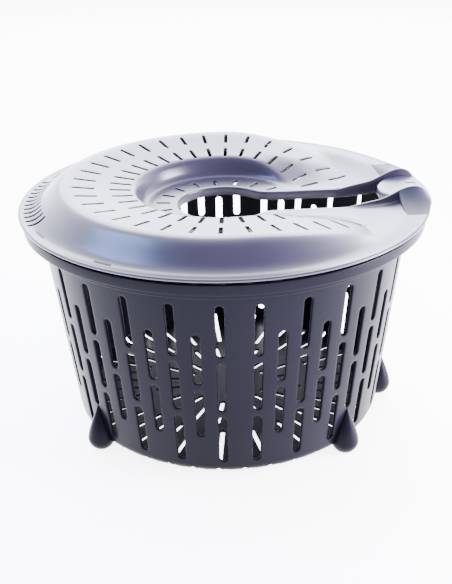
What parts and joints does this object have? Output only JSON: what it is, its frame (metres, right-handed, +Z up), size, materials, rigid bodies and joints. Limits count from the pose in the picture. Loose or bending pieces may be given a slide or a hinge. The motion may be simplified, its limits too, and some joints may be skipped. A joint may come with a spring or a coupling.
{
  "type": "salad spinner",
  "caption": "Round slotted salad basket on moulded feet, with a slotted lid that turns and lifts off, a central keyhole opening and a side handle.",
  "frame": {"origin": "on the table, on the axis of the basket, under the feet", "axes": "+Z up along the basket's axis, +X from the axis through the lid's handle"},
  "size_m": [0.2712, 0.2712, 0.1654],
  "materials": {
    "basket_plastic": "satin moulded polypropylene, dark slate plum",
    "lid_plastic": "satin moulded plastic with a faint pearl, slate plum",
    "pad_plastic": "smooth satin moulded plastic, slate plum",
    "bearing_plastic": "smooth black bearing plastic",
    "clip_plastic": "smooth black plastic"
  },
  "bodies": {
    "base": {"basket": "basket_plastic"},
    "ring": {"glide_ring": "bearing_plastic"},
    "cover": {"lid": "lid_plastic", "thumb_rest": "pad_plastic", "clip_1": "clip_plastic", "clip_2": "clip_plastic", "clip_3": "clip_plastic", "clip_4": "clip_plastic"}
  },
  "joints": [
    {"name": "lid_spin", "type": "hinge", "parent": "base", "child": "ring", "pos_m": [0, 0, 0.144], "axis": [0, 0, 1], "continuous": true},
    {"name": "lid_lift", "type": "slide", "parent": "ring", "child": "cover", "axis": [0, 0, 1], "range_m": [0, 0.09]}
  ]
}
